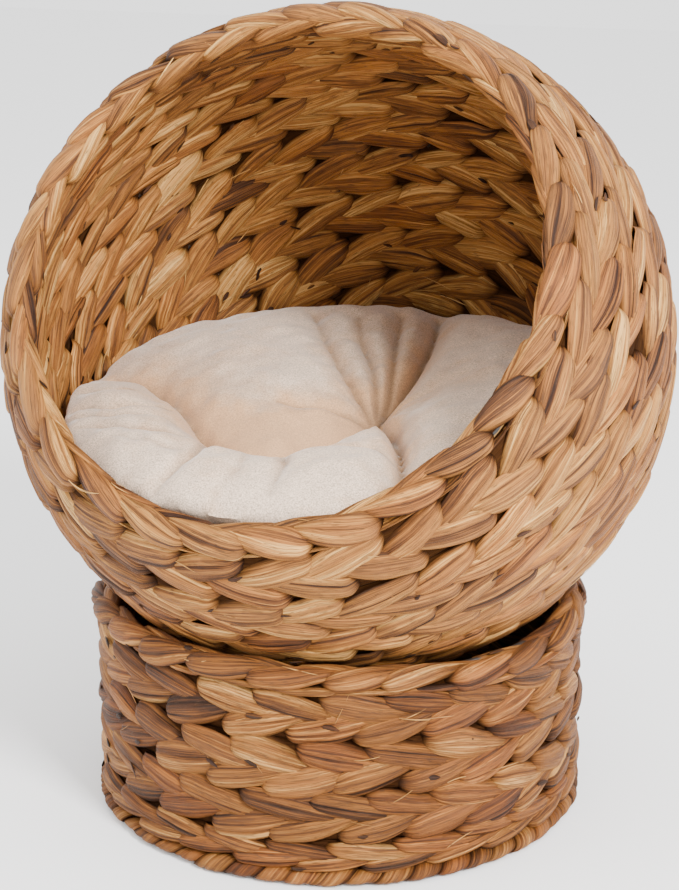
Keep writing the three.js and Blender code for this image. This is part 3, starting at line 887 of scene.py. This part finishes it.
def velvet_material():
    """Crushed velvet with painted sheen: silvery outside the hollows and warm in them, random crushed
    patches, a fine pile made brighter as painted glints, and painted shade along the folds.
    """
    n = Nodes("velvet_looks")
    place = n.add("ShaderNodeTexCoord").outputs["Object"]
    hollows_without_painted_sheen = n.attribute("hollows_without_painted_sheen").outputs["Fac"]
    crush = n.noise(place, 26, 4, 0.6)
    blot = n.noise(place, 90, 3, 0.6)
    pile = n.noise(place, 900, 2, 0.7)
    # Painted sheen: silvery away from the hollows and warm in them, broken by random crushed patches.
    crush_and_sheen = n.maths("MULTIPLY_ADD", n.maths("SUBTRACT", crush, 0.5), 1.5, hollows_without_painted_sheen)
    crush_and_sheen = n.maths("MULTIPLY_ADD", n.maths("SUBTRACT", blot, 0.5), 0.5, crush_and_sheen)
    painted_sheen_colour = n.ramp(crush_and_sheen, [(0.05, (0.580, 0.438, 0.328)), (0.45, (0.530, 0.366, 0.245)),
                           (0.90, (0.530, 0.312, 0.166))])
    # Painted glints: the fine pile is brightened and darkened most where the top has painted sheen.
    strength = n.maths("MULTIPLY_ADD", hollows_without_painted_sheen, -0.9, 2.3)
    pile_glints_and_fold_shade = n.maths("MULTIPLY_ADD", n.maths("SUBTRACT", pile, 0.5), strength, 1.0)
    # Painted shade darkens the colour along the folds' bottoms.
    painted_crease_shade = n.attribute("painted_crease_shade").outputs["Fac"]
    pile_glints_and_fold_shade = n.maths("MULTIPLY", pile_glints_and_fold_shade, n.maths("MULTIPLY_ADD", painted_crease_shade, -0.78, 1.0))
    shaded = n.add("ShaderNodeVectorMath", operation="SCALE")
    n.link(painted_sheen_colour, shaded.inputs[0])
    n.link(pile_glints_and_fold_shade, shaded.inputs["Scale"])
    n.link(shaded.outputs["Vector"], n.shader.inputs["Base Color"])
    n.shader.inputs["Roughness"].default_value = 0.85
    n.shader.inputs["Specular IOR Level"].default_value = 0.2
    n.shader.inputs["Sheen Weight"].default_value = 0.45
    n.shader.inputs["Sheen Roughness"].default_value = 0.35
    n.shader.inputs["Sheen Tint"].default_value = (0.95, 0.92, 0.90, 1)
    height = n.maths("ADD", n.maths("MULTIPLY", pile, 0.7), n.maths("MULTIPLY", blot, 0.5))
    n.link(n.bump(height, 0.55, 0.0010), n.shader.inputs["Normal"])
    return n.material


STITCH_TURNS = (0.5, 1.5, 2.6)     # which way the stitches of the tuft lie
STITCH_RADIUS, THREAD_RADIUS = 0.00075, 0.0011
KNOT_REACH = 0.0030
ROPE_CORNERS = 8


def add_rope(made, path, radius):
    """Adds a round closed strand along a path, as one leaf of steps and corners."""
    path = np.array(path)
    ahead = unit(np.gradient(path, axis=0))
    aside = unit(np.cross(ahead, (0.37, 0.21, 0.90)))
    up = np.cross(ahead, aside)
    angle = np.arange(ROPE_CORNERS) * TAU / ROPE_CORNERS
    ring = np.cos(angle)[:, None] * aside[:, None] + np.sin(angle)[:, None] * up[:, None]
    points = (path[:, None] + radius * ring)[None, :, ::-1]
    flat = np.zeros(points.shape[:3])
    made.add(points, np.zeros(points.shape), flat, flat)


def thread_material():
    """Twisted sewing thread."""
    n = Nodes("thread_looks")
    place = n.add("ShaderNodeTexCoord").outputs["Object"]
    twist = n.noise(n.scaled(place, (900, 900, 2600)), 1, 2, 0.5)
    n.link(n.ramp(twist, [(0.35, (0.16, 0.10, 0.07)), (0.65, (0.36, 0.25, 0.18))]),
           n.shader.inputs["Base Color"])
    n.link(n.maths("MULTIPLY_ADD", twist, 0.3, 0.5), n.shader.inputs["Roughness"])
    n.link(n.bump(twist, 0.7, 0.0004), n.shader.inputs["Normal"])
    return n.material


def make_tuft_thread(cushion):
    """The stitches that tie the cushion down in its middle, and the thread through it."""
    local = mesh_points(cushion.data) - BALL_CENTRE
    near = (np.hypot(local[:, 0] - TUFT[0], local[:, 1] - TUFT[1]) < 0.005) & (local[:, 2] > -0.15)
    pit = np.array([*TUFT, float(local[near, 2].mean())])
    foot = np.array([0, 0, float(local[:, 2].min()) + 0.002])
    made = Collected()
    arc = np.linspace(-1, 1, 13)[:, None]
    for direction in STITCH_TURNS:
        side = np.array([math.cos(direction), math.sin(direction), 0])
        stitch = pit + side * arc * 0.0050 + UP * (0.0022 - 0.0060 * arc**2)
        add_rope(made, BALL_CENTRE + stitch, STITCH_RADIUS)
    down = np.linspace(0.02, 1, 30)[:, None]
    add_rope(made, BALL_CENTRE + pit + (foot - pit) * down, THREAD_RADIUS)
    turn = np.linspace(0, TAU * 0.96, 24)[:, None]
    knot = foot + KNOT_REACH * (np.cos(turn) * SIDE + np.sin(turn) * FRONT)
    add_rope(made, BALL_CENTRE + knot, THREAD_RADIUS)
    thread = woven_object("cushion_tuft_thread", made, thread_material())
    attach(thread, "cushion")
    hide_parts("cushion_tuft_tie")


def make_cushion():
    points, faces = cushion_blank()
    cushion = mesh_object("cushion_velvet", points, faces, velvet_material())
    remesh = cushion.modifiers.new("remesh", "REMESH")
    remesh.mode = "VOXEL"
    remesh.voxel_size = VOXEL
    made_real(cushion)
    local = mesh_points(cushion.data) - BALL_CENTRE
    x, y, z = local.T
    to_tuft = np.hypot(x - TUFT[0], y - TUFT[1])
    held = np.exp(-(to_tuft / 0.012) ** 2) + (hollow_at(x, y, SOFT) / 0.018) ** 2
    inside = np.linalg.norm(local, axis=1) < CUSHION_REACH - 0.012
    held = np.where(inside, held, 0) + np.clip((-0.10 - z) / 0.03, 0, 1)
    inflate(cushion, held)
    smooth = cushion.modifiers.new("smooth", "SUBSURF")
    smooth.levels = smooth.render_levels = 1
    made_real(cushion)
    sharpen_folds(cushion, np.random.default_rng(CUSHION_SEED))
    cushion.data.polygons.foreach_set("use_smooth", np.ones(len(cushion.data.polygons), bool))
    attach(cushion, "cushion")
    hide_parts("cushion_cover", "cushion_filling")
    make_tuft_thread(cushion)


# ------------------------------------------------------------------ camera, lights, floor

CAMERA_AZIMUTH = math.radians(20.8)     # to the right of the front
CAMERA_PITCH = math.radians(16.52)      # downwards
CAMERA_AWAY, CAMERA_RISE = 1.5538, 0.3817     # from the ball's centre
CAMERA_LENS, CAMERA_SENSOR = 86.54, 36        # in millimetres
WORLD_STRENGTH = 2.05
LIGHTS_AIM = (0, 0, 0.3)
LIGHTS = [    # name, place, size and power in watts
    ("key", (1.92, -1.55, 1.98), 0.7, 184),
    ("low", (1.70, -2.05, 0.60), 1.2, 22),
    ("fill", (-1.8, -1.4, 1.2), 1.6, 24),
]
FLOOR_REACH = 6.0
FLOOR_WHITE = 0.93


def make_camera():
    data = bpy.data.cameras.new("camera")
    data.lens = CAMERA_LENS
    data.sensor_width = CAMERA_SENSOR
    camera = bpy.data.objects.new("camera", data)
    away = Vector((math.sin(CAMERA_AZIMUTH), -math.cos(CAMERA_AZIMUTH), 0))
    camera.location = Vector(BALL_CENTRE) + away * CAMERA_AWAY + Vector((0, 0, CAMERA_RISE))
    level = math.cos(CAMERA_PITCH)
    look = Vector((-away.x * level, -away.y * level, -math.sin(CAMERA_PITCH)))
    camera.rotation_euler = look.to_track_quat("-Z", "Y").to_euler()
    bpy.context.scene.collection.objects.link(camera)
    bpy.context.scene.camera = camera


def area_light(name, place, size, power):
    data = bpy.data.lights.new(name, "AREA")
    data.size = size
    data.energy = power
    light = bpy.data.objects.new(name, data)
    light.location = place
    aim = Vector(LIGHTS_AIM) - Vector(place)
    light.rotation_euler = aim.to_track_quat("-Z", "Y").to_euler()
    bpy.context.scene.collection.objects.link(light)


def make_studio():
    """A white world, soft lights and a plain pale floor."""
    world = bpy.data.worlds.new("studio")
    world.use_nodes = True
    background = world.node_tree.nodes["Background"]
    background.inputs["Color"].default_value = (1, 1, 1, 1)
    background.inputs["Strength"].default_value = WORLD_STRENGTH
    bpy.context.scene.world = world
    for light in LIGHTS:
        area_light(*light)
    floor_looks = Nodes("floor")
    floor_looks.shader.inputs["Base Color"].default_value = (FLOOR_WHITE, FLOOR_WHITE, FLOOR_WHITE, 1)
    floor_looks.shader.inputs["Roughness"].default_value = 1.0
    floor_looks.shader.inputs["Specular IOR Level"].default_value = 0.0
    square = np.array([[-1, -1, 0], [1, -1, 0], [1, 1, 0], [-1, 1, 0]], float)
    face = np.array([[0, 1, 2, 3]])
    floor = mesh_object("floor", FLOOR_REACH * square, [face], floor_looks.material, smooth=False)


make_camera()
make_pod()
make_base()
make_foot()
finish_wires()
make_cushion()
make_studio()
